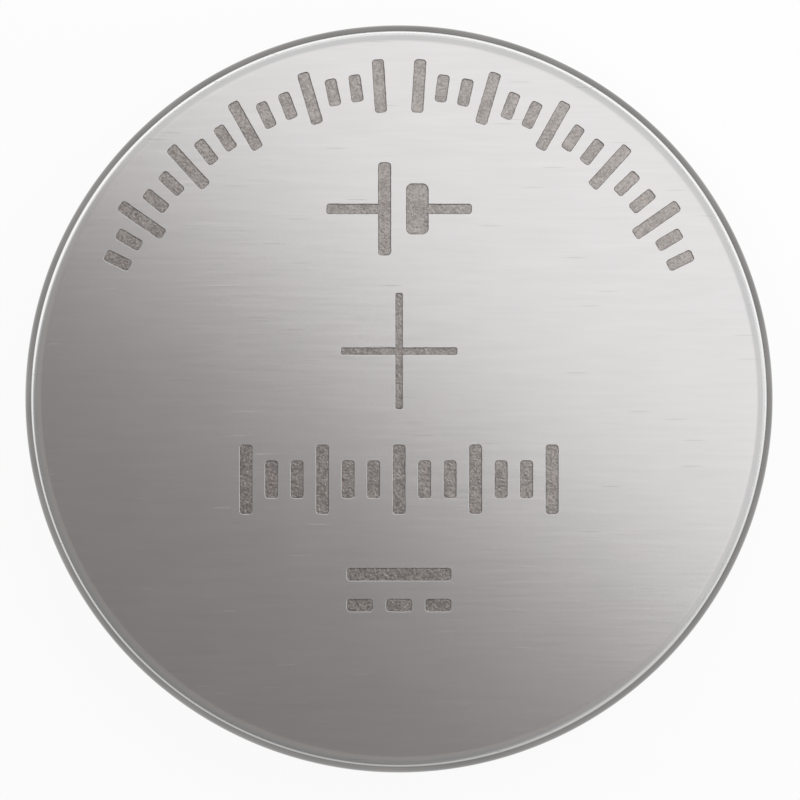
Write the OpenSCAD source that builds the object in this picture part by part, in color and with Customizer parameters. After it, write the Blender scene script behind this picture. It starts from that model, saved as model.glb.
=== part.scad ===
// Lithium coin cell, lying on its negative cap with the positive face up.
// The origin is the centre of the negative face, and every sheet part is a bent section turned about Z.

/* [Cell] */
// Outside diameter of the cell
cell_d = 16; // [12:0.1:24]
// Height from the negative face to the positive face
cell_h = 2; // [1.85:0.05:3.2]

/* [Positive can] */
// Sheet thickness of the can
can_t = 0.2; // [0.15:0.01:0.25]
// Outside radius between the positive face and the side wall
can_corner_r = 0.38; // [0.3:0.01:0.4]
// Flat width of the crimped rim, inside its bend
rim_land_w = 0.25; // [0.1:0.05:0.4]
// Height of the crimped rim above the negative face
rim_lift = 0.12; // [0.1:0.01:0.2]

/* [Negative cap] */
// Sheet thickness of the cap
cap_t = 0.2; // [0.15:0.01:0.25]
// Outside radius at the edge of the negative face
cap_edge_r = 0.3; // [0.27:0.01:0.4]
// Outside radius where the shoulder turns into the skirt
cap_bend_r = 0.3; // [0.27:0.01:0.4]
// Radius in the groove between the pocket wall and the shoulder
cap_root_r = 0.1; // [0.06:0.01:0.15]

/* [Gasket] */
// Thickness of the gasket where the crimp squeezes it
gasket_t = 0.25; // [0.2:0.01:0.32]
// Thickness of the gasket under the edge of the skirt
gasket_base_t = 0.3; // [0.2:0.05:0.4]
// Thickness of the lip that holds the skirt from inside
gasket_lip_t = 0.3; // [0.2:0.05:0.4]
// Height of that lip's end above the skirt's bend
gasket_lip_gap = 0.15; // [0.05:0.05:0.3]
// Width of gasket that shows inside the rim
gasket_show_w = 0.15; // [0.13:0.01:0.3]

/* [Electrodes] */
// Thickness of the lithium disc
lithium_t = 0.4; // [0.3:0.05:0.5]
// Gap between the lithium disc and the pocket wall
lithium_gap = 0.55; // [0.3:0.05:1]
// Thickness of the separator
separator_t = 0.12; // [0.06:0.01:0.2]
// Gap between the separator and the pocket wall
separator_gap = 0.05; // [0.02:0.01:0.15]
// Width of separator that stands past the cathode pellet
separator_overlap = 0.2; // [0.1:0.05:0.6]

/* [Collector] */
// Thickness of the collector mesh
collector_t = 0.1; // [0.06:0.01:0.15]
// Width of pellet that stands past the collector mesh
collector_inset = 0.5; // [0.3:0.1:1.5]
// Width of the plain band round the collector mesh
collector_band_w = 0.3; // [0.2:0.05:0.8]
// Long pitch of the diamond openings
diamond_l = 1.8; // [1.5:0.1:2.4]
// Short pitch of the diamond openings
diamond_w = 1; // [0.8:0.1:1.4]
// Width of the strands between the openings
strand_w = 0.2; // [0.15:0.01:0.3]

/* [Hidden] */
$fn = 128;

// Radii of the seal, from the side wall inwards
can_r = cell_d / 2;
can_bore_r = can_r - can_t;
skirt_r = can_bore_r - gasket_t;
skirt_bend_r = skirt_r - cap_bend_r;
rim_edge_r = skirt_bend_r - rim_land_w;
gasket_edge_r = rim_edge_r - gasket_show_w;
pocket_r = gasket_edge_r - cap_root_r;
gasket_inner_r = skirt_r - cap_t - gasket_lip_t;

// Heights of the seal: the rim, the gasket and the shoulder bend about one circle
shoulder_z = rim_lift + can_t + gasket_t;
bend_z = shoulder_z + cap_bend_r;
can_floor_z = cell_h - can_t;
skirt_end_z = can_floor_z - gasket_base_t;

// The stack between the two inner faces; the pellet fills what the others leave
separator_z = cap_t + lithium_t;
pellet_z = separator_z + separator_t;
collector_z = can_floor_z - collector_t;
separator_r = pocket_r - cap_t - separator_gap;
pellet_r = separator_r - separator_overlap;
collector_r = pellet_r - collector_inset;

// Overshoot of a cutting tool past the face it cuts
overshoot = 0.1;

// Straight stretch of a section, between its lowest and highest corner
module strip(low, high) {
    translate(low) square(high - low);
}

// Quarter turn of a section between two radii; quadrant 0 is outwards and up, and they count anticlockwise
module quarter_bend(centre, inner_r, outer_r, quadrant) {
    translate(centre) rotate(90 * quadrant) intersection() {
        difference() {
            circle(r = outer_r);
            circle(r = inner_r);
        }
        square(2 * outer_r);
    }
}

// Quarter of a disc, with the quadrants of quarter_bend
module quarter_disc(centre, r, quadrant) {
    translate(centre) rotate(90 * quadrant) intersection() {
        circle(r = r);
        square(2 * r);
    }
}

module can_section() {
    face_r = can_r - can_corner_r;
    wall_top_z = cell_h - can_corner_r;
    strip([0, can_floor_z], [face_r, cell_h]);
    quarter_bend([face_r, wall_top_z], can_corner_r - can_t, can_corner_r, 0);
    strip([can_bore_r, bend_z], [can_r, wall_top_z]);
    quarter_bend([skirt_bend_r, bend_z], can_bore_r - skirt_bend_r, can_r - skirt_bend_r, 3);
    strip([rim_edge_r, rim_lift], [skirt_bend_r, rim_lift + can_t]);
}

module cap_section() {
    strip([0, 0], [pocket_r - cap_edge_r, cap_t]);
    quarter_bend([pocket_r - cap_edge_r, cap_edge_r], cap_edge_r - cap_t, cap_edge_r, 3);
    strip([pocket_r - cap_t, cap_edge_r], [pocket_r, shoulder_z - cap_root_r]);
    quarter_bend([gasket_edge_r, shoulder_z - cap_root_r], cap_root_r, cap_root_r + cap_t, 1);
    strip([gasket_edge_r, shoulder_z], [skirt_bend_r, shoulder_z + cap_t]);
    quarter_bend([skirt_bend_r, bend_z], cap_bend_r - cap_t, cap_bend_r, 3);
    strip([skirt_r - cap_t, bend_z], [skirt_r, skirt_end_z]);
}

module gasket_section() {
    face_r = can_r - can_corner_r;
    wall_top_z = cell_h - can_corner_r;
    bead_r = gasket_t / 2;
    // Rounded edge that shows, and the stretch that the rim presses on the shoulder
    translate([gasket_edge_r + bead_r, shoulder_z - bead_r]) circle(r = bead_r);
    strip([gasket_edge_r + bead_r, shoulder_z - gasket_t], [skirt_bend_r, shoulder_z]);
    quarter_bend([skirt_bend_r, bend_z], cap_bend_r, cap_bend_r + gasket_t, 3);
    // Wall between the skirt and the can, with the corner that fills the can's own
    strip([skirt_r, bend_z], [can_bore_r, wall_top_z]);
    quarter_disc([face_r, wall_top_z], can_corner_r - can_t, 0);
    // Floor under the skirt's edge, and the lip inside it
    strip([gasket_inner_r, skirt_end_z], [face_r, can_floor_z]);
    strip([gasket_inner_r, bend_z + gasket_lip_gap], [skirt_r - cap_t, skirt_end_z]);
}

module positive_can() {
    color("silver") rotate_extrude() can_section();
}

module negative_cap() {
    color("lightsteelblue") rotate_extrude() cap_section();
}

module gasket() {
    color("gainsboro") rotate_extrude() gasket_section();
}

module lithium_disc() {
    color("lightgray") translate([0, 0, cap_t])
        cylinder(r = pocket_r - cap_t - lithium_gap, h = lithium_t);
}

module separator() {
    color("white") translate([0, 0, separator_z])
        cylinder(r = separator_r, h = separator_t);
}

module cathode_pellet() {
    color("dimgray") translate([0, 0, pellet_z])
        cylinder(r = pellet_r, h = collector_z - pellet_z);
}

// Diamond with the lattice's shape, drawn in by half a strand on each side
module diamond() {
    half = [diamond_l, diamond_w] / 2;
    side_distance = half.x * half.y / norm(half);
    tip = half * (1 - strand_w / 2 / side_distance);
    polygon([[tip.x, 0], [0, tip.y], [-tip.x, 0], [0, -tip.y]]);
}

// Centres of the diamonds that lie whole inside the plain band
function diamond_centres() =
    let (
        rows = ceil(2 * collector_r / diamond_w),
        columns = ceil(collector_r / diamond_l),
        reach = collector_r - collector_band_w
    )
    [
        for (row = [-rows : rows], column = [-columns : columns])
            let (
                shift = row % 2 == 0 ? 0 : 0.5,
                centre = [(column + shift) * diamond_l, row * diamond_w / 2]
            )
            if (norm([abs(centre.x) + diamond_l / 2, centre.y]) < reach) centre,
    ];

module collector_mesh() {
    color("darkgray") translate([0, 0, collector_z]) difference() {
        cylinder(r = collector_r, h = collector_t);
        translate([0, 0, -overshoot]) linear_extrude(collector_t + 2 * overshoot)
            for (centre = diamond_centres()) translate(centre) diamond();
    }
}

positive_can();
gasket();
negative_cap();
lithium_disc();
separator();
cathode_pellet();
collector_mesh();
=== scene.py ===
"""Lithium coin cell: turned shells with etched marks, the sealed pieces and a small studio."""

import math
import random

import bmesh
import bpy
import numpy as np
from bpy.props import FloatProperty, FloatVectorProperty, IntProperty, PointerProperty
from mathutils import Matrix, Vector, noise
from mathutils.geometry import delaunay_2d_cdt


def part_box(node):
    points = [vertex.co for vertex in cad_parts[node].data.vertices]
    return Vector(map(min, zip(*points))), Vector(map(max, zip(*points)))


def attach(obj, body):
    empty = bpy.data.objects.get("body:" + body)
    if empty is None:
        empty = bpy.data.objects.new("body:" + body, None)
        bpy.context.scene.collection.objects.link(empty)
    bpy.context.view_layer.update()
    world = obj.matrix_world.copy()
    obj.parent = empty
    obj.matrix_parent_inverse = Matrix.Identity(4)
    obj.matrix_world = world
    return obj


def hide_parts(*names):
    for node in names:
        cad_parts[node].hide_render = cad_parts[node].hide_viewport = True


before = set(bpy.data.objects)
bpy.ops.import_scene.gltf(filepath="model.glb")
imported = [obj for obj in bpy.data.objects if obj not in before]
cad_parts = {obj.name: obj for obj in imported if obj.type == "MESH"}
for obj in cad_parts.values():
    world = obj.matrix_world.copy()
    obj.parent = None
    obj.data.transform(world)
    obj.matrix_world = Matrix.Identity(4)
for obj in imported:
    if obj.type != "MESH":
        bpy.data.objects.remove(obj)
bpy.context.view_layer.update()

MM = 0.001
BODY = "root"
BLACK = (0.0, 0.0, 0.0)
WHITE = (1.0, 1.0, 1.0)

# Vertices closer than this are joined, and edges that turn by more than this are sharp
WELD = 0.0005 * MM
SHARP_ANGLE = math.radians(15)

# The disc in the photograph, in pixels from its top left corner
PHOTO_SIDE = 800
DISC_CENTRE = (399.0, 398.95)
DISC_RADIUS = 373.7

# Depths behind a shell's flat face, in millimetres: how far in they are told apart, and between
# which of them a finish of the sheet comes or goes
TONE_REACH = 0.5
FACE_GRAIN_ENDS = (0.0005, 0.01)
BURNISH_BEGINS = (0.035, 0.058)
WALL_LINES_BEGIN = (0.25, 0.5)

# Rolled grain: size along X, Y and Z in millimetres, weight in the relief and weight in the shine
ROLLED_GRAIN = (
    ((1.1, 0.03, 0.5), 0.06, 0.14),
    ((1.2, 0.075, 0.5), 0.18, 0.36),
    ((1.8, 0.19, 1.0), 0.32, 0.5),
)

# Zones of the surroundings. Each comes or goes between two values of the part of a direction
# that points up,
HORIZON_ENDS = (0.02, 0.12)
BAND_BEGINS = (0.12, 0.18)
GAP_BEGINS = (0.36, 0.42)
BAND_ENDS = (0.48, 0.58)
GAP_ENDS = (0.55, 0.65)
WARM_BEGINS = (0.8, 0.97)
OVERHEAD_BEGINS = (0.93, 0.998)
# of the part that points along the card's heading,
FRONT_ENDS = (-0.75, -0.25)
SPILL_BEGINS = (-0.45, 0.0)
BEHIND_BEGINS = (-0.02, 0.08)
DEEP_BEGINS = (0.1, 0.45)
# or of how far the direction passes outside the card's edge
CARD_ENDS = (-0.04, 0.06)

bl_info = {
    "name": "Coin Cell",
    "version": (1, 0, 0),
    "blender": (4, 5, 0),
    "location": "View3D > Sidebar > Coin Cell",
    "description": "Gives a framed coin cell its shells, marks, finishes and studio",
    "category": "Object",
}


def length(name, description, default):
    return FloatProperty(
        name=name, description=description, default=default, unit="LENGTH", precision=5
    )


def share(name, description, default):
    return FloatProperty(
        name=name, description=description, default=default, subtype="FACTOR", min=0, max=1
    )


def level(name, description, default):
    return FloatProperty(name=name, description=description, default=default, min=0)


def colour(name, description, default):
    return FloatVectorProperty(
        name=name, description=description, default=default, subtype="COLOR", min=0, max=1
    )


def bearing(name, description, degrees):
    return FloatProperty(
        name=name, description=description, default=math.radians(degrees), subtype="ANGLE"
    )


class CellSizes(bpy.types.PropertyGroup):
    """Sheet and bends of the turned pieces. Their outer sizes come from the frame."""

    sheet: length("Sheet", "Thickness of the can and of the cap", 0.2 * MM)
    can_corner: length("Can Corner", "Outside radius between the face and the side wall", 0.38 * MM)
    rim_land: length("Rim Land", "Flat width of the crimped rim", 0.25 * MM)
    cap_edge: length("Cap Edge", "Outside radius at the edge of the negative face", 0.3 * MM)
    cap_bend: length("Cap Bend", "Outside radius between the shoulder and the skirt", 0.3 * MM)
    cap_root: length("Cap Root", "Radius between the pocket wall and the shoulder", 0.1 * MM)
    gasket_lip: length("Gasket Lip", "Thickness of the gasket's inner lip", 0.3 * MM)
    lip_gap: length("Lip Gap", "Height of the inner lip's end above the skirt's bend", 0.15 * MM)
    gasket_show: length("Gasket Show", "Width of gasket that shows inside the rim", 0.15 * MM)
    burr: length("Edge Break", "Chamfer on the cut edges of the sheet", 0.02 * MM)
    disc_edge: length("Disc Edge", "Rounding of the punched discs' edges", 0.04 * MM)
    pellet_edge: length("Pellet Edge", "Chamfer that the press leaves on the pellet", 0.1 * MM)
    face_border: length("Face Border", "Plain ring of the face next to its bend", 0.02 * MM)
    turns: IntProperty(name="Segments", description="Segments round the axis", default=384, min=48)


class MarkSizes(bpy.types.PropertyGroup):
    """The marks etched in the positive face."""

    depth: length("Depth", "Depth of the etched floor", 0.033 * MM)
    shoulder: length("Shoulder", "Width of the polished slope along a mark's edge", 0.008 * MM)
    shoulder_drop: length("Shoulder Drop", "Height of that slope", 0.0033 * MM)
    step: length("Step", "Width of the steep step from the slope to the floor", 0.012 * MM)
    stroke: length("Stroke", "Width of a plain bar", 0.29 * MM)
    plus_arm: length("Plus Arm", "Length of the plus sign's bars", 2.5 * MM)
    plus_stroke: length("Plus Stroke", "Width of the plus sign's bars", 0.17 * MM)
    tick_radius: length("Tick Radius", "Radius through the middle of the curved row", 6.7 * MM)
    tick_length: length("Tick Length", "Length of a long tick", 1.15 * MM)
    grain: length("Grain", "Pitch of the stipple on the etched floor", 0.023 * MM)
    grain_height: length("Grain Height", "Height of the stipple about the floor", 0.0028 * MM)
    wander: length("Wander", "How far a mark's edge strays from its outline", 0.006 * MM)


class Finishes(bpy.types.PropertyGroup):
    """Colours and gloss of the pieces."""

    steel: colour("Steel", "Polished sheet of the can and the cap", (0.666, 0.663, 0.661))
    # Painted shade: a darker tone on the first part of the bend, where its reflection dims
    bent: colour("Bent Steel", "Corner, where the sheet was bent", (0.458, 0.456, 0.453))
    # Painted highlight: a bright line round the bend, in place of a reflected band of light
    painted_edge_highlight: colour("Worn Steel", "Line that handling has burnished round the bend", (0.87,) * 3)
    # Painted reflection: a dark band at the foot of the bend, for the dim surroundings that it
    # reflects
    drawn: colour("Drawn Steel", "Foot of the bend, drawn hardest", (0.184, 0.182, 0.18))
    # Painted shade: the side wall darker than the face, for the dim surroundings that it reflects
    wall: colour("Wall Steel", "Drawn side wall", (0.45, 0.448, 0.445))
    tint: colour("Steel Tint", "Faint warm clouds on the sheet", (0.66, 0.635, 0.615))
    etched: colour("Etched Steel", "Floor of the marks", (0.36, 0.335, 0.32))
    gasket: colour("Gasket", "Natural polypropylene", (0.66, 0.66, 0.63))
    lithium: colour("Lithium", "Dull lithium metal", (0.5, 0.5, 0.52))
    separator: colour("Separator", "White felt", (0.82, 0.82, 0.8))
    cathode: colour("Cathode", "Pressed black powder", (0.022, 0.022, 0.024))
    graphite: colour("Graphite", "Glinting flakes in the powder", (0.14, 0.14, 0.145))
    mesh: colour("Collector", "Plain steel mesh", (0.5, 0.49, 0.48))
    face_gloss: share("Face Roughness", "Roughness of the positive face", 0.3)
    wall_gloss: share("Wall Roughness", "Roughness of the burnished line and the side wall", 0.17)
    etched_gloss: share("Etched Roughness", "Roughness of the marks' floor", 0.35)


class Studio(bpy.types.PropertyGroup):
    """Lights, floor and camera."""

    card_level: level("Card Level", "Brightness of the soft card over the cell", 1.09)
    card_height: length("Card Height", "Height of the soft card above the floor", 25 * MM)
    card_edge: length("Card Edge", "From the cell's axis to the card's near edge", 0.15 * MM)
    card_reach: length("Card Reach", "From the cell's axis to the card's far edge", 39.5 * MM)
    card_heading: bearing("Card Heading", "Direction from the axis to the card, from +X", 50)
    card_colour: colour("Card Colour", "Colour of the card's light", (0.985, 0.99, 1.0))
    sky_level: level("Sky Level", "Brightness of the surroundings overhead", 0.185)
    side_level: level("Side Level", "Brightness of the surroundings to the sides", 0.49)
    shade_level: level("Shade Level", "Brightness that they lose behind the soft card", 0.3)
    spill_level: level("Spill Level", "Brightness that they gain just beside the soft card", 0.31)
    deep_level: level("Deep Level", "Brightness that they gain well behind the soft card", 0.14)
    warm_colour: colour("Warm Colour", "Colour of the surroundings overhead", (1.0, 0.91, 0.88))
    band_level: level("Band Level", "Brightness of the light band low round the studio", 1.05)
    band_swing: level("Band Swing", "Brightness that the band gains towards +Y", 0.5)
    band_most: level("Band Most", "Brightness that the band never passes", 1.14)
    band_dip: level("Band Dip", "How much lower the band ends on the side away from the card", 0.17)
    gap_share: share("Gap Share", "Share lost in the gap above the band there", 0.62)
    ground_level: level("Ground Level", "Brightness at the horizon and below", 1.0)
    floor_white: share("Floor White", "Share of the floor that shows plain white", 0.92)
    floor_paper: colour("Floor Paper", "Colour of the floor where light falls on it", (0.88,) * 3)
    floor_reach: length("Floor Reach", "Distance from the axis to the floor's edges", 1500 * MM)
    camera_distance: length("Camera Distance", "From the camera to the cell's outline", 250 * MM)


class Value:
    """A node's output that takes part in Python expressions, which add Math nodes."""

    def __init__(self, graph, socket):
        self.graph = graph
        self.socket = socket

    def maths(self, operation, *terms):
        """A Math node's output for its terms, each a value or a number."""
        return self.graph.node("ShaderNodeMath", {"operation": operation}, dict(enumerate(terms)))

    def output(self, name):
        """Another output of the same node."""
        return Value(self.graph, self.socket.node.outputs[name])

    def __add__(self, other):
        return self.maths("ADD", self, other)

    def __radd__(self, other):
        return self.maths("ADD", other, self)

    def __sub__(self, other):
        return self.maths("SUBTRACT", self, other)

    def __rsub__(self, other):
        return self.maths("SUBTRACT", other, self)

    def __mul__(self, other):
        return self.maths("MULTIPLY", self, other)

    def __rmul__(self, other):
        return self.maths("MULTIPLY", other, self)


class Graph:
    """The node tree of a material or of the world."""

    def __init__(self, owner):
        owner.use_nodes = True
        self.tree = owner.node_tree
        self.tree.nodes.clear()

    def node(self, kind, settings=None, inputs=None, output=0):
        """Adds a node with its settings, then its inputs by name or number. Gives one output."""
        made = self.tree.nodes.new(kind)
        for name, setting in (settings or {}).items():
            if name == "stops":
                self.set_stops(made.color_ramp.elements, setting)
            else:
                setattr(made, name, setting)
        for name, given in (inputs or {}).items():
            if isinstance(given, Value):
                self.tree.links.new(given.socket, made.inputs[name])
            else:
                made.inputs[name].default_value = given
        return Value(self, made.outputs[output]) if len(made.outputs) else None

    @staticmethod
    def set_stops(elements, stops):
        """Gives a colour ramp its stops, each a position and a colour, in rising order."""
        elements[0].position, elements[0].color = stops[0]
        elements[1].position, elements[1].color = stops[-1]
        for position, tone in stops[1:-1]:
            elements.new(position).color = tone

    def place(self):
        """Position on the object, in metres."""
        return self.node("ShaderNodeTexCoord").output("Object")

    def stretched(self, vector, size):
        """The vector measured in features of the given size along X, Y and Z, in millimetres."""
        shrink = tuple(1 / (s * MM) for s in size)
        return self.node("ShaderNodeVectorMath", {"operation": "MULTIPLY"}, {0: vector, 1: shrink})

    def noise(self, vector, size, detail, roughness=0.5):
        """Noise from 0 to 1 with features of the given size, in millimetres."""
        cells = self.stretched(vector, size)
        inputs = {"Vector": cells, "Scale": 1.0, "Detail": detail, "Roughness": roughness}
        return self.node("ShaderNodeTexNoise", {}, inputs)

    def smooth(self, value, low, high):
        """0 below low and 1 above high, with a smooth step between."""
        inputs = {"Value": value, "From Min": low, "From Max": high}
        return self.node("ShaderNodeMapRange", {"interpolation_type": "SMOOTHSTEP"}, inputs)

    def mix(self, factor, one, two):
        """Colour one where factor is 0 and colour two where it is 1."""
        return self.node("ShaderNodeMix", {"data_type": "RGBA"}, {0: factor, 6: one, 7: two}, 2)

    def bump(self, height, distance, under=None):
        """Normal of a surface whose height from 0 to 1 stands for the distance."""
        inputs = {"Height": height, "Distance": distance}
        if under is not None:
            inputs["Normal"] = under
        return self.node("ShaderNodeBump", {}, inputs)

    def surface(self, inputs):
        """Ends a material in a Principled shader."""
        shader = self.node("ShaderNodeBsdfPrincipled", {}, inputs)
        self.node("ShaderNodeOutputMaterial", {}, {"Surface": shader})


def rgba(values, factor=1.0):
    return (*(v * factor for v in values), 1.0)


def marks_of_wear(graph, place):
    """1 on sparse short scratches that lie along X, and 0 elsewhere."""
    # Each lies in a cell that is so many times its size, and is read along X and Y only
    scratch_size, times, shift = (0.55, 0.018), 15, 3 * MM
    moved = graph.node("ShaderNodeVectorMath", {"operation": "ADD"}, {0: place, 1: (shift,) * 3})
    cells = graph.stretched(moved, (*(size * times for size in scratch_size), 1000))
    inputs = {"Vector": cells, "Scale": 1.0}
    distance = graph.node("ShaderNodeTexVoronoi", {"voronoi_dimensions": "2D"}, inputs)
    full, gone = 0.014, 0.042
    return 1 - graph.smooth(distance, full, gone)


def sheet_tones(finishes):
    """Tone of the sheet by its depth behind the face, in millimetres. Past the plain face the tones
    are painted light: painted shade on the bend, a painted highlight line, a painted dark band for
    reflected dim surroundings, and a side wall painted darker.
    """
    return (
        (0.0002, finishes.steel),
        (0.007, finishes.bent),
        (0.030, finishes.bent),
        (0.060, finishes.painted_edge_highlight),
        (0.080, finishes.painted_edge_highlight),
        (0.096, finishes.drawn),
        (0.27, finishes.drawn),
        (0.36, finishes.wall),
    )


def sheet_steel(name, finishes, face_z, inward):
    """Rolled sheet with a straight grain on its face, painted light round its bend, and fine lines
    down its drawn wall.

    Inward is 1 where the sheet lies above its face, and -1 where it lies below it.
    """
    material = bpy.data.materials.new(name)
    graph = Graph(material)
    place = graph.place()
    reach = TONE_REACH * MM
    height = graph.node("ShaderNodeSeparateXYZ", {}, {0: place}).output("Z")
    depth = (height - face_z) * (inward / reach)

    def past(limits):
        """0 down to the first depth and 1 from the second on."""
        return graph.smooth(depth, limits[0] * MM / reach, limits[1] * MM / reach)

    on_face = 1 - past(FACE_GRAIN_ENDS)
    on_wall = past(WALL_LINES_BEGIN)
    polished = past(BURNISH_BEGINS)
    # Tone by depth: painted shade, a painted highlight line and a painted dark band round the bend,
    # and a side wall painted darker
    stops = [(at * MM / reach, rgba(tone)) for at, tone in sheet_tones(finishes)]
    tone = graph.node("ShaderNodeValToRGB", {"stops": stops}, {0: depth})

    streaks = [graph.noise(place, size, 1) for size, _, _ in ROLLED_GRAIN]
    ridges = sum(streak * grain[1] for streak, grain in zip(streaks, ROLLED_GRAIN))
    gleam = sum(streak * grain[2] for streak, grain in zip(streaks, ROLLED_GRAIN))
    middle = sum(grain[1] for grain in ROLLED_GRAIN) / 2
    cloud = graph.noise(place, (1.6, 1.2, 1), 1)
    scratch = marks_of_wear(graph, place)
    thin_lines = graph.noise(place, (0.05, 0.05, 1.6), 2, 0.6)
    broad_lines = graph.noise(place, (0.35, 0.35, 3), 1)
    drawn = graph.smooth(thin_lines * 0.6 + broad_lines * 0.4, 0.36, 0.62)

    # Tone: dull streaks, then faint warm clouds, then the dark scratches
    streak_dark, cloud_tint, scratch_dark, scratch_tone = 0.16, 0.5, 0.22, 0.3
    shine = on_face * gleam + on_wall * drawn
    dark = graph.mix((on_face + on_wall) * streak_dark, tone, rgba(BLACK))
    shaded = graph.mix(shine, dark, tone)
    warm = graph.mix(0.5, shaded, rgba(finishes.tint))
    tinted = graph.mix(cloud * cloud_tint, shaded, warm)
    scratched = graph.mix(scratch * scratch_dark, tinted, rgba(finishes.steel, scratch_tone))

    # Gloss and relief
    cloud_gloss, scratch_gloss = 0.015, 0.06
    line_height, scratch_height = 0.004 * MM, 0.0006 * MM
    gloss = finishes.face_gloss - polished * (finishes.face_gloss - finishes.wall_gloss)
    lines = on_face * (ridges - middle) + on_wall * (drawn - 0.5)
    relief = graph.bump(lines, line_height)
    graph.surface({
        "Base Color": scratched,
        "Metallic": 1.0,
        "Roughness": gloss + (cloud - 0.5) * cloud_gloss + scratch * scratch_gloss,
        "Normal": graph.bump(scratch, scratch_height, relief),
    })
    return material


def etched_steel(finishes):
    """Dull, pitted floor and edges of the marks."""
    material = bpy.data.materials.new("etched_steel")
    graph = Graph(material)
    place = graph.place()
    speck = graph.noise(place, (0.045, 0.045, 0.045), 3, 0.7)
    patch = graph.noise(place, (0.25, 0.25, 0.25), 2)
    burn = graph.smooth(speck * 0.75 + patch * 0.25, 0.4, 0.6)
    pit_tone, crest_tone, speck_gloss, speck_height = 0.72, 1.14, 0.2, 0.003 * MM
    tone = graph.mix(burn, rgba(finishes.etched, pit_tone), rgba(finishes.etched, crest_tone))
    graph.surface({
        "Base Color": tone,
        "Metallic": 1.0,
        "Roughness": finishes.etched_gloss + (speck - 0.5) * speck_gloss,
        "Normal": graph.bump(speck, speck_height),
    })
    return material


def moulded_plastic(finishes):
    """Milky polypropylene with a faint moulded grain."""
    material = bpy.data.materials.new("gasket_plastic")
    graph = Graph(material)
    place = graph.place()
    cloud = graph.noise(place, (0.9, 0.9, 0.3), 2)
    grain = graph.noise(place, (0.02, 0.02, 0.02), 2, 0.6)
    cloud_tone, gloss, grain_gloss, grain_height = 0.92, 0.42, 0.12, 0.0008 * MM
    graph.surface({
        "Base Color": graph.mix(cloud, rgba(finishes.gasket, cloud_tone), rgba(finishes.gasket)),
        "Roughness": gloss + grain * grain_gloss,
        "Normal": graph.bump(grain, grain_height),
        "IOR": 1.49,
    })
    return material


def soft_lithium(finishes):
    """Rolled lithium foil, dulled in patches."""
    material = bpy.data.materials.new("lithium_metal")
    graph = Graph(material)
    place = graph.place()
    patch = graph.noise(place, (0.8, 0.8, 0.4), 4, 0.6)
    rolled = graph.noise(place, (0.08, 3, 0.2), 2)
    dull = graph.smooth(patch, 0.4, 0.65)
    dull_tone, dull_metal, gloss, dull_gloss, height = 0.72, 0.35, 0.42, 0.2, 0.004 * MM
    graph.surface({
        "Base Color": graph.mix(dull, rgba(finishes.lithium), rgba(finishes.lithium, dull_tone)),
        "Metallic": 1 - dull * dull_metal,
        "Roughness": gloss + dull * dull_gloss,
        "Normal": graph.bump(rolled * 0.6 + patch * 0.4, height),
    })
    return material


def felt(finishes):
    """Non-woven felt: fine fibres pressed flat in two directions."""
    material = bpy.data.materials.new("separator_felt")
    graph = Graph(material)
    place = graph.place()
    crossing = 0.9
    inputs = {"Vector": place, "Angle": crossing}
    swung = graph.node("ShaderNodeVectorRotate", {"rotation_type": "Z_AXIS"}, inputs)
    one = graph.noise(place, (0.35, 0.02, 0.1), 3, 0.6)
    two = graph.noise(swung, (0.02, 0.3, 0.1), 3, 0.6)
    fibres = one.maths("MAXIMUM", one, two)
    between_tone, fibre_height = 0.8, 0.012 * MM
    between = rgba(finishes.separator, between_tone)
    graph.surface({
        "Base Color": graph.mix(fibres, between, rgba(finishes.separator)),
        "Roughness": 0.85,
        "Normal": graph.bump(fibres, fibre_height),
    })
    return material


def pressed_powder(finishes):
    """Black powder pellet with small glinting flakes of graphite."""
    material = bpy.data.materials.new("cathode_powder")
    graph = Graph(material)
    place = graph.place()
    grains = graph.noise(place, (0.03, 0.03, 0.03), 3, 0.7)
    flake = graph.smooth(graph.noise(place, (0.05, 0.05, 0.05), 1), 0.66, 0.7)
    flake_metal, gloss, flake_gloss, grain_height = 0.8, 0.8, 0.4, 0.006 * MM
    graph.surface({
        "Base Color": graph.mix(flake, rgba(finishes.cathode), rgba(finishes.graphite)),
        "Metallic": flake * flake_metal,
        "Roughness": gloss - flake * flake_gloss,
        "Normal": graph.bump(grains, grain_height),
    })
    return material


def mesh_steel(finishes):
    """Plain sheet steel of the collector, with a fine rolled grain."""
    material = bpy.data.materials.new("mesh_steel")
    graph = Graph(material)
    grain = graph.noise(graph.place(), (1.5, 0.03, 0.3), 3, 0.6)
    line_tone, gloss, grain_gloss, grain_height = 0.9, 0.3, 0.1, 0.0008 * MM
    graph.surface({
        "Base Color": graph.mix(grain, rgba(finishes.mesh, line_tone), rgba(finishes.mesh)),
        "Metallic": 1.0,
        "Roughness": gloss + grain * grain_gloss,
        "Normal": graph.bump(grain, grain_height),
    })
    return material


def arc(centre, radius, first, last, steps):
    """Points of a circular bend in a section, from one angle in degrees to another."""
    angles = np.radians(np.linspace(first, last, steps + 1))
    return [(centre[0] + radius * math.cos(a), centre[1] + radius * math.sin(a)) for a in angles]


def flat(radius, z):
    """Points of a flat in a section, from the axis to well inside its bend."""
    return [(radius * part, z) for part in (0, 0.1, 0.35, 0.7)]


def turned(section, turns, closed):
    """Vertices and faces of a section turned about Z. A point on the axis becomes one vertex."""
    vertices = []
    rings = []
    for r, z in section:
        if r == 0:
            rings.append([len(vertices)])
            vertices.append((0.0, 0.0, z))
            continue
        rings.append(list(range(len(vertices), len(vertices) + turns)))
        angles = [2 * math.pi * k / turns for k in range(turns)]
        vertices += [(r * math.cos(a), r * math.sin(a), z) for a in angles]
    faces = []
    pairs = list(zip(rings, rings[1:]))
    if closed:
        pairs.append((rings[-1], rings[0]))
    for one, two in pairs:
        if len(one) == 1 and len(two) == 1:
            continue
        for k in range(turns):
            n = (k + 1) % turns
            quad = [one[k % len(one)], two[k % len(two)], two[n % len(two)], one[n % len(one)]]
            faces.append(tuple(dict.fromkeys(quad)))
    return vertices, faces


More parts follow.
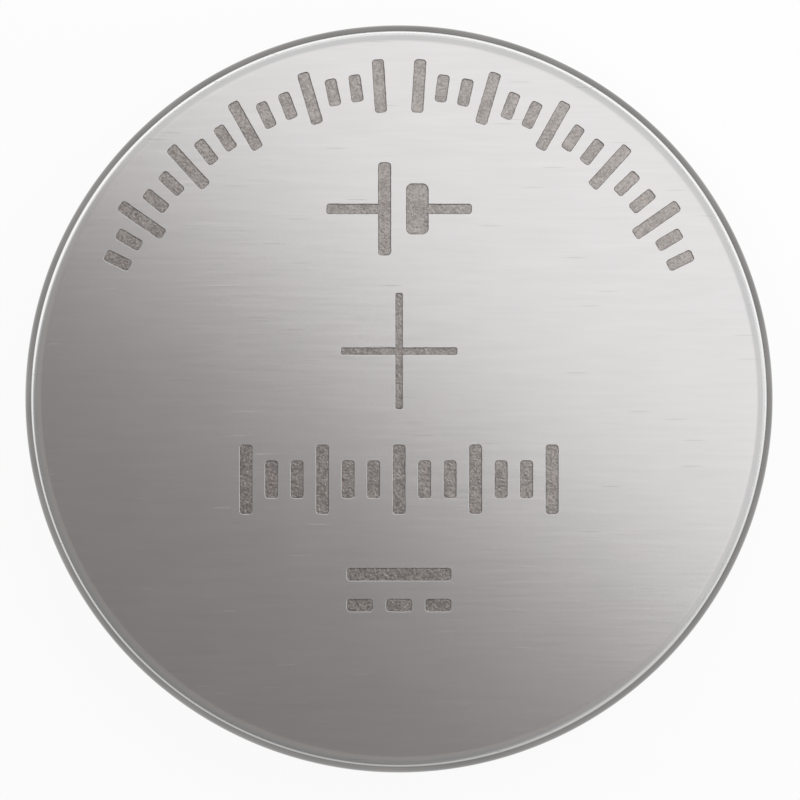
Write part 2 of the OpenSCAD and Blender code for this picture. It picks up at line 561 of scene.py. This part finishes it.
def finished_piece(name, vertices, faces, materials, face_materials=None):
    """A closed, smooth object from raw geometry, with its seams joined and its hard edges sharp."""
    mesh = bpy.data.meshes.new(name)
    mesh.from_pydata(vertices, [], faces)
    for material in materials:
        mesh.materials.append(material)
    if face_materials is not None:
        mesh.polygons.foreach_set("material_index", face_materials)
    work = bmesh.new()
    work.from_mesh(mesh)
    bmesh.ops.remove_doubles(work, verts=work.verts, dist=WELD)
    bmesh.ops.recalc_face_normals(work, faces=work.faces)
    work.to_mesh(mesh)
    work.free()
    mesh.shade_smooth()
    mesh.set_sharp_from_angle(angle=SHARP_ANGLE)
    piece = bpy.data.objects.new(name, mesh)
    bpy.context.scene.collection.objects.link(piece)
    return piece


def dress(piece, node):
    """Rides a piece that stands for a CAD node, and hides that node."""
    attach(piece, BODY)
    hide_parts(node)


class Bar:
    """A straight mark with rounded corners on the positive face."""

    CORNER_SHARE = 0.55
    LEAST_CORNER = 0.15
    WANDER_PITCH = 0.09 * MM

    def __init__(self, x, y, bar_length, width, angle=0.0):
        self.centre = np.array([x, y])
        self.half = np.array([bar_length, width]) / 2
        self.corner = min(self.half) * self.CORNER_SHARE
        along = (math.cos(angle), math.sin(angle))
        self.axes = np.array([along, (-along[1], along[0])])

    def distance(self, points):
        """Signed distance from the bar's edge, negative inside it."""
        local = np.abs((points - self.centre) @ self.axes.T) - (self.half - self.corner)
        outside = np.linalg.norm(np.maximum(local, 0), axis=1)
        return outside + np.minimum(local.max(axis=1), 0) - self.corner

    def outline(self, inset, spacing, wander):
        """Points round the bar's edge, moved in by inset, that stray a little from it."""
        corner = max(self.corner - inset, self.LEAST_CORNER * self.corner)
        core = self.half - inset - corner
        points = []
        for quadrant, (sx, sy) in enumerate(((1, 1), (-1, 1), (-1, -1), (1, -1))):
            at = core * (sx, sy)
            steps = max(3, round(corner * math.pi / 2 / spacing))
            for k in range(steps + 1):
                a = math.pi / 2 * (quadrant + k / steps)
                outward = np.array([math.cos(a), math.sin(a)])
                points.append((at + corner * outward, outward))
            run = 2 * (core[0] if quadrant % 2 == 0 else core[1])
            end, normal = points[-1]
            heading = np.array([-normal[1], normal[0]])
            spans = max(1, round(run / spacing))
            for k in range(1, spans):
                points.append((end + heading * run * k / spans, normal))
        strayed = []
        for at, normal in points:
            outward = normal @ self.axes
            world = at @ self.axes + self.centre
            spot = (world + outward * inset) / self.WANDER_PITCH
            stray = wander * noise.noise(Vector((*spot, 0.0)))
            strayed.append(world + outward * stray)
        return np.array(strayed)


def mark_bars(sizes):
    """The bars of all the marks, from the ticks over the top to the direct current below."""
    stroke = sizes.stroke
    upright = math.pi / 2
    bars = []
    # Curved row of ticks over the top, each third one long, with a gap in the middle
    ticks, tick_step, tick_gap = 15, math.radians(4.3), math.radians(3.6)
    short_tick, tick_stroke = sizes.tick_length * 0.52, stroke * 0.93
    for side in (-1, 1):
        for k in range(ticks):
            angle = upright - side * (tick_gap + k * tick_step)
            size = sizes.tick_length if k % 3 == 0 else short_tick
            at = sizes.tick_radius * np.array([math.cos(angle), math.sin(angle)])
            bars.append(Bar(*at, size, tick_stroke, angle))
    # Circuit symbol of a cell: a long thin plate, a short thick one and a lead to each
    cell_y, plate_gap, lead, lead_stroke = 4.06 * MM, 0.62 * MM, 1.25 * MM, stroke * 0.8
    long_plate, short_plate, thick_stroke, thick_shift = 2.0 * MM, 1.1 * MM, stroke * 1.7, 0.08 * MM
    bars.append(Bar(-plate_gap / 2, cell_y, long_plate, stroke, upright))
    bars.append(Bar(plate_gap / 2 + thick_shift, cell_y, short_plate, thick_stroke, upright))
    bars.append(Bar(-plate_gap / 2 - lead / 2, cell_y, lead, lead_stroke))
    bars.append(Bar(plate_gap / 2 + lead / 2, cell_y, lead, lead_stroke))
    # Plus sign
    plus_y = 1.02 * MM
    for angle in (0, upright):
        bars.append(Bar(0, plus_y, sizes.plus_arm, sizes.plus_stroke, angle))
    # Straight scale, each third mark tall
    marks, mark_step, scale_y, mark_height = 13, 0.545 * MM, -1.72 * MM, 1.5 * MM
    low_mark = mark_height * 0.55
    for k in range(marks):
        size = mark_height if k % 3 == 0 else low_mark
        bars.append(Bar((k - (marks - 1) / 2) * mark_step, scale_y, size, stroke, upright))
    # Direct current: a whole line over a broken one
    current_width, current_y, current_gap, dashes = 2.25 * MM, -3.75 * MM, 0.66 * MM, 3
    dash_share = 0.68
    bars.append(Bar(0, current_y, current_width, stroke))
    dash_step = current_width / (dashes - (1 - dash_share))
    for k in range(dashes):
        dash = dash_step * dash_share
        bars.append(Bar((k - 1) * dash_step, current_y - current_gap, dash, stroke))
    return bars


def marked_face(face_r, face_z, turns, sizes):
    """Vertices, faces and finishes of the positive face, with the marks sunk in it."""
    bars = mark_bars(sizes)
    insets = [0, sizes.shoulder, sizes.shoulder + sizes.step]
    drops = [0, sizes.shoulder_drop, sizes.depth]
    points = []
    origin_drops = []
    edges = []

    def add(new, drop, owner=None, ring=False):
        first = len(points)
        points.extend(new)
        origin_drops.extend([(drop, owner)] * len(new))
        if ring:
            edges.extend((first + k, first + (k + 1) % len(new)) for k in range(len(new)))

    angles = [2 * math.pi * k / turns for k in range(turns)]
    rim = [np.array([face_r * math.cos(a), face_r * math.sin(a)]) for a in angles]
    add(rim, 0.0, ring=True)
    for bar in bars:
        for inset, drop in zip(insets, drops):
            add(bar.outline(inset, sizes.grain, sizes.wander), drop, bar, True)

    # Stipple on the floors, one point to each small square, at random in its middle part
    dice = random.Random(16)
    low, high = 0.15, 0.85
    keep_off = insets[-1] + 0.45 * sizes.grain
    for bar in bars:
        count = np.ceil(2 * bar.half / sizes.grain).astype(int)
        squares = [
            (i + dice.uniform(low, high), j + dice.uniform(low, high))
            for i in range(count[0]) for j in range(count[1])
        ]
        places = (np.array(squares) * sizes.grain - bar.half) @ bar.axes + bar.centre
        add(places[bar.distance(places) < -keep_off], sizes.depth, bar)

    # Loose net of points over the plain face, in rows a little closer than its pitch
    net, row_share, mark_share, edge_share = 0.42 * MM, 0.866, 0.3, 0.6
    steps = int(face_r / net) + 1
    grid = np.array([
        ((i + 0.5 * (j % 2)) * net, j * net * row_share)
        for j in range(-steps - 3, steps + 4) for i in range(-steps, steps + 1)
    ])
    clear = np.min([bar.distance(grid) for bar in bars], axis=0) > mark_share * net
    inside = np.linalg.norm(grid, axis=1) < face_r - edge_share * net
    add(grid[clear & inside], 0.0)

    # One set of triangles that keeps each outline and fills the rim, worked out in millimetres
    spots = [Vector(p / MM) for p in points]
    fill_hull, nearness = 0, 1e-5
    made, _, faces, origins, _, _ = delaunay_2d_cdt(spots, edges, [], fill_hull, nearness)
    places = np.array([tuple(p) for p in made]) * MM

    # Depth of each point: its own outline's, or that of another bar that it lies in
    depth = np.array([origin_drops[o[0]][0] if o else 0.0 for o in origins])
    owners = [origin_drops[o[0]][1] if o else None for o in origins]
    for bar in bars:
        other = np.array([owner is not bar for owner in owners])
        sunk = np.interp(-bar.distance(places), insets, drops)
        depth = np.where(other, np.maximum(depth, sunk), depth)
    nearly = 0.99
    floor = depth > nearly * sizes.depth
    rough = np.array([dice.uniform(-1, 1) for _ in places]) * floor * sizes.grain_height
    z = face_z - depth + rough
    vertices = [(x, y, h) for (x, y), h in zip(places, z)]
    etched_from = nearly * sizes.shoulder_drop
    finishes = [1 if min(depth[list(face)]) > etched_from else 0 for face in faces]
    return vertices, [tuple(face) for face in faces], finishes


class Sections:
    """Radii and heights of the seal, from the frame and the sheet's bends."""

    def __init__(self, sizes):
        can_low, can_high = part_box("positive_can")
        cap_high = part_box("negative_cap")[1]
        gasket_low, gasket_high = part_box("gasket")
        self.sizes = sizes
        self.can_r = can_high.x
        self.cell_h = can_high.z
        self.rim_z = can_low.z
        self.bore_r = gasket_high.x
        self.floor_z = gasket_high.z
        self.skirt_r = cap_high.x
        self.skirt_end_z = cap_high.z
        self.squeeze_z = gasket_low.z
        self.face_r = self.can_r - sizes.can_corner
        self.wall_top_z = self.cell_h - sizes.can_corner
        self.bend_r = self.skirt_r - sizes.cap_bend
        self.rim_edge_r = self.bend_r - sizes.rim_land
        self.gasket_edge_r = self.rim_edge_r - sizes.gasket_show
        self.pocket_r = self.gasket_edge_r - sizes.cap_root
        self.squeeze = self.bore_r - self.skirt_r
        self.shoulder_z = self.squeeze_z + self.squeeze
        self.bend_z = self.shoulder_z + sizes.cap_bend

    def can(self):
        """The can from its marked face's edge round the rim, and inside it to the axis."""
        s = self.sizes
        corner = (self.face_r, self.wall_top_z)
        bend = (self.bend_r, self.bend_z)
        outer = arc(corner, s.can_corner, 90, 0, 24)
        outer += arc(bend, self.can_r - self.bend_r, 0, -90, 22)
        outer += [(self.rim_edge_r + s.burr, self.rim_z), (self.rim_edge_r, self.rim_z + s.burr)]
        inner = [(self.rim_edge_r, self.rim_z + s.sheet)]
        inner += arc(bend, self.bore_r - self.bend_r, -90, 0, 12)
        inner += arc(corner, s.can_corner - s.sheet, 0, 90, 8)
        return outer + inner + flat(self.face_r, self.floor_z)[::-1]

    def cap(self):
        """The cap, from the middle of the contact face round the skirt to the pocket's centre."""
        s = self.sizes
        edge = (self.pocket_r - s.cap_edge, s.cap_edge)
        root = (self.gasket_edge_r, self.shoulder_z - s.cap_root)
        bend = (self.bend_r, self.bend_z)
        outer = flat(edge[0], 0)
        outer += arc(edge, s.cap_edge, -90, 0, 20)
        outer += arc(root, s.cap_root, 180, 90, 10)
        outer += arc(bend, s.cap_bend, -90, 0, 16)
        outer += [(self.skirt_r, self.skirt_end_z - s.burr)]
        outer += [(self.skirt_r - s.burr, self.skirt_end_z)]
        inner = [(self.skirt_r - s.sheet, self.skirt_end_z)]
        inner += arc(bend, s.cap_bend - s.sheet, 0, -90, 8)
        inner += arc(root, s.cap_root + s.sheet, 90, 180, 12)
        inner += arc(edge, s.cap_edge - s.sheet, 0, -90, 8)
        return outer + inner + flat(edge[0], s.sheet)[::-1]

    def gasket(self):
        """The gasket's closed section: bead, squeezed web, wall, floor and inner lip."""
        s = self.sizes
        bead = self.squeeze / 2
        bend = (self.bend_r, self.bend_z)
        lip_r = self.skirt_r - s.sheet
        inner_r = lip_r - s.gasket_lip
        lip_z = self.bend_z + s.lip_gap
        section = arc((self.gasket_edge_r + bead, self.shoulder_z - bead), bead, 90, 270, 18)
        section += arc(bend, s.cap_bend + self.squeeze, -90, 0, 16)
        section += arc((self.face_r, self.wall_top_z), s.can_corner - s.sheet, 0, 90, 8)
        section += [(inner_r, self.floor_z), (inner_r, lip_z), (lip_r, lip_z)]
        section += [(lip_r, self.skirt_end_z), (self.skirt_r, self.skirt_end_z)]
        section += arc(bend, s.cap_bend, 0, -90, 14)
        return section


def disc_section(node, edge, steps):
    """Section of a disc that fills a node's box: edges rounded, or chamfered in one step."""
    low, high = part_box(node)
    under = arc((high.x - edge, low.z + edge), edge, -90, 0, steps)
    over = arc((high.x - edge, high.z - edge), edge, 0, 90, steps)
    return flat(high.x, low.z) + under + over + flat(high.x, high.z)[::-1]


class COINCELL_OT_positive_can(bpy.types.Operator):
    """Makes the steel can with its crimped rim and the marks etched in its face"""

    bl_idname = "coincell.positive_can"
    bl_label = "Positive Can"

    def execute(self, context):
        scene = context.scene
        finishes = scene.cell_finishes
        sections = Sections(scene.cell_sizes)
        turns = scene.cell_sizes.turns
        marked_r = sections.face_r - scene.cell_sizes.face_border
        section = [(marked_r, sections.cell_h), *sections.can()]
        vertices, faces = turned(section, turns, False)
        marked = marked_face(marked_r, sections.cell_h, turns, scene.mark_sizes)
        marked_vertices, marked_faces, marked_kinds = marked
        start = len(vertices)
        kinds = [0] * len(faces) + marked_kinds
        vertices += marked_vertices
        faces += [tuple(start + v for v in face) for face in marked_faces]
        steel = sheet_steel("can_steel", finishes, sections.cell_h, -1)
        piece = finished_piece("can_shell", vertices, faces, [steel, etched_steel(finishes)], kinds)
        dress(piece, "positive_can")
        return {"FINISHED"}


class COINCELL_OT_negative_cap(bpy.types.Operator):
    """Makes the stepped steel cap"""

    bl_idname = "coincell.negative_cap"
    bl_label = "Negative Cap"

    def execute(self, context):
        scene = context.scene
        vertices, faces = turned(Sections(scene.cell_sizes).cap(), scene.cell_sizes.turns, False)
        steel = sheet_steel("cap_steel", scene.cell_finishes, 0.0, 1)
        dress(finished_piece("cap_shell", vertices, faces, [steel]), "negative_cap")
        return {"FINISHED"}


class COINCELL_OT_gasket(bpy.types.Operator):
    """Makes the moulded gasket between the two shells"""

    bl_idname = "coincell.gasket"
    bl_label = "Gasket"

    def execute(self, context):
        scene = context.scene
        vertices, faces = turned(Sections(scene.cell_sizes).gasket(), scene.cell_sizes.turns, True)
        plastic = moulded_plastic(scene.cell_finishes)
        piece = finished_piece("gasket_ring", vertices, faces, [plastic])
        dress(piece, "gasket")
        return {"FINISHED"}


class COINCELL_OT_sealed_pieces(bpy.types.Operator):
    """Makes the discs sealed inside the cell, and gives the collector mesh its finish"""

    bl_idname = "coincell.sealed_pieces"
    bl_label = "Sealed Pieces"

    def execute(self, context):
        sizes = context.scene.cell_sizes
        finishes = context.scene.cell_finishes
        round_edge = (sizes.disc_edge, 8)
        cut_edge = (sizes.pellet_edge, 1)
        discs = (
            ("anode_disc", "lithium_disc", "lithium_metal", soft_lithium, round_edge),
            ("felt_disc", "separator", "separator_felt", felt, round_edge),
            ("pressed_pellet", "cathode_pellet", "cathode_powder", pressed_powder, cut_edge),
        )
        for name, node, slot, finish, edge in discs:
            vertices, faces = turned(disc_section(node, *edge), sizes.turns, False)
            dress(finished_piece(name, vertices, faces, [finish(finishes)]), node)
        steel = mesh_steel(finishes)
        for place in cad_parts["collector_mesh"].material_slots:
            place.material = steel
        return {"FINISHED"}


class COINCELL_OT_stage(bpy.types.Operator):
    """Sets up the floor, the lights and the camera over the cell"""

    bl_idname = "coincell.stage"
    bl_label = "Stage"

    def execute(self, context):
        studio = context.scene.cell_studio
        self.make_floor(context, studio)
        self.make_card(context, studio)
        self.make_sky(context, studio)
        self.make_camera(context, studio)
        context.scene.view_settings.view_transform = "Standard"
        return {"FINISHED"}

    def make_floor(self, context, studio):
        """A wide pale floor that shows white and keeps the cell's shadow."""
        material = bpy.data.materials.new("floor")
        graph = Graph(material)
        path = graph.node("ShaderNodeLightPath")
        rays = ("Is Camera Ray", "Is Glossy Ray", "Is Transmission Ray")
        seen = sum(path.output(ray) for ray in rays)
        paper = graph.node("ShaderNodeBsdfDiffuse", {}, {"Color": rgba(studio.floor_paper)})
        white = graph.node("ShaderNodeEmission", {}, {"Strength": 1.0})
        shaders = {0: seen * studio.floor_white, 1: paper, 2: white}
        mixed = graph.node("ShaderNodeMixShader", {}, shaders)
        graph.node("ShaderNodeOutputMaterial", {}, {"Surface": mixed})
        reach = studio.floor_reach
        below = -0.002 * MM
        mesh = bpy.data.meshes.new("floor")
        corners = [(x * reach, y * reach, below) for x, y in ((-1, -1), (1, -1), (1, 1), (-1, 1))]
        mesh.from_pydata(corners, [], [(0, 1, 2, 3)])
        mesh.materials.append(material)
        floor = bpy.data.objects.new("floor", mesh)
        context.scene.collection.objects.link(floor)

    def make_card(self, context, studio):
        """A soft lit card over one half of the cell. Its edge shades the face to dark."""
        lamp = bpy.data.lights.new("soft_card", "AREA")
        lamp.shape = "RECTANGLE"
        lamp.size = studio.card_reach - studio.card_edge
        lamp.size_y = studio.card_reach * 2
        lamp.energy = studio.card_level * math.pi * lamp.size * lamp.size_y
        lamp.color = studio.card_colour
        card = bpy.data.objects.new("soft_card", lamp)
        out = (studio.card_reach + studio.card_edge) / 2
        heading = studio.card_heading
        card.location = (out * math.cos(heading), out * math.sin(heading), studio.card_height)
        card.rotation_euler = (0, 0, heading)
        card.visible_camera = False
        context.scene.collection.objects.link(card)

    def make_sky(self, context, studio):
        """Dim surroundings, a light band low down that is brighter at +Y, and a white horizon."""
        world = bpy.data.worlds.new("studio")
        context.scene.world = world
        graph = Graph(world)
        heading = graph.node("ShaderNodeTexCoord").output("Generated")
        axes = graph.node("ShaderNodeSeparateXYZ", {}, {0: heading})
        up = axes.output("Z")
        across = math.cos(studio.card_heading), math.sin(studio.card_heading)
        towards = axes.output("X") * across[0] + axes.output("Y") * across[1]
        beside = axes.output("Y") * across[0] - axes.output("X") * across[1]

        # Sides of the studio, by the card's heading
        behind = graph.smooth(towards, *BEHIND_BEGINS)
        spill = graph.smooth(towards, *SPILL_BEGINS) - behind
        deep = graph.smooth(towards, *DEEP_BEGINS) - behind
        front = 1 - graph.smooth(towards, *FRONT_ENDS)
        cover = towards.maths("MAXIMUM", towards, beside.maths("ABSOLUTE", beside))
        card_slope = studio.card_reach / studio.card_height
        past_card = graph.smooth(cover - up * card_slope, *CARD_ENDS)

        # Light band low round the studio, which ends where the card begins
        low = 1 - graph.smooth(up + front * studio.band_dip, *BAND_ENDS)
        band = graph.smooth(up, *BAND_BEGINS) * (behind * past_card + (1 - behind) * low)
        swing = studio.band_level + axes.output("Y") * studio.band_swing
        swing = swing.maths("MINIMUM", swing, studio.band_most)

        # Plain surroundings, dim overhead, with a darker gap on the side away from the card
        side = 1 - graph.smooth(up, *OVERHEAD_BEGINS)
        gap = front * graph.smooth(up, *GAP_BEGINS) * (1 - graph.smooth(up, *GAP_ENDS))
        around = studio.side_level - studio.sky_level - behind * studio.shade_level
        around = around + spill * studio.spill_level + deep * studio.deep_level
        strength = (studio.sky_level + side * around) * (1 - gap * studio.gap_share)

        above = graph.smooth(up, *HORIZON_ENDS)
        strength = strength * (1 - band) + band * swing
        strength = above * strength + (1 - above) * studio.ground_level
        warm = graph.smooth(up, *WARM_BEGINS)
        tone = graph.mix(warm, rgba(WHITE), rgba(studio.warm_colour))
        light = graph.node("ShaderNodeBackground", {}, {"Color": tone, "Strength": strength})
        graph.node("ShaderNodeOutputWorld", {}, {"Surface": light})

    def make_camera(self, context, studio):
        """Looks straight down, with the disc where the photograph has it."""
        data = bpy.data.cameras.new("camera")
        camera = bpy.data.objects.new("camera", data)
        context.scene.collection.objects.link(camera)
        sections = Sections(context.scene.cell_sizes)
        pixel = sections.can_r / DISC_RADIUS
        middle = PHOTO_SIDE / 2
        camera.location = (
            (middle - DISC_CENTRE[0]) * pixel,
            (DISC_CENTRE[1] - middle) * pixel,
            sections.wall_top_z + studio.camera_distance,
        )
        data.lens = data.sensor_width * studio.camera_distance / (PHOTO_SIDE * pixel)
        data.clip_start = MM
        context.scene.camera = camera


class COINCELL_PT_panel(bpy.types.Panel):
    """Lists the steps and the sizes of the coin cell"""

    bl_idname = "COINCELL_PT_panel"
    bl_label = "Coin Cell"
    bl_space_type = "VIEW_3D"
    bl_region_type = "UI"
    bl_category = "Coin Cell"

    def draw(self, context):
        for step in STEPS:
            self.layout.operator(step.bl_idname)
        for group in GROUPS:
            for name in GROUPS[group].__annotations__:
                self.layout.prop(getattr(context.scene, group), name)


GROUPS = {
    "cell_sizes": CellSizes,
    "mark_sizes": MarkSizes,
    "cell_finishes": Finishes,
    "cell_studio": Studio,
}
STEPS = (
    COINCELL_OT_positive_can,
    COINCELL_OT_gasket,
    COINCELL_OT_negative_cap,
    COINCELL_OT_sealed_pieces,
    COINCELL_OT_stage,
)


def register():
    for group, kind in GROUPS.items():
        bpy.utils.register_class(kind)
        setattr(bpy.types.Scene, group, PointerProperty(type=kind))
    for kind in (*STEPS, COINCELL_PT_panel):
        bpy.utils.register_class(kind)


def unregister():
    for kind in (COINCELL_PT_panel, *reversed(STEPS)):
        bpy.utils.unregister_class(kind)
    for group, kind in reversed(GROUPS.items()):
        delattr(bpy.types.Scene, group)
        bpy.utils.unregister_class(kind)


def main():
    register()
    bpy.ops.coincell.positive_can()
    bpy.ops.coincell.gasket()
    bpy.ops.coincell.negative_cap()
    bpy.ops.coincell.sealed_pieces()
    bpy.ops.coincell.stage()


if __name__ == "__main__":
    main()
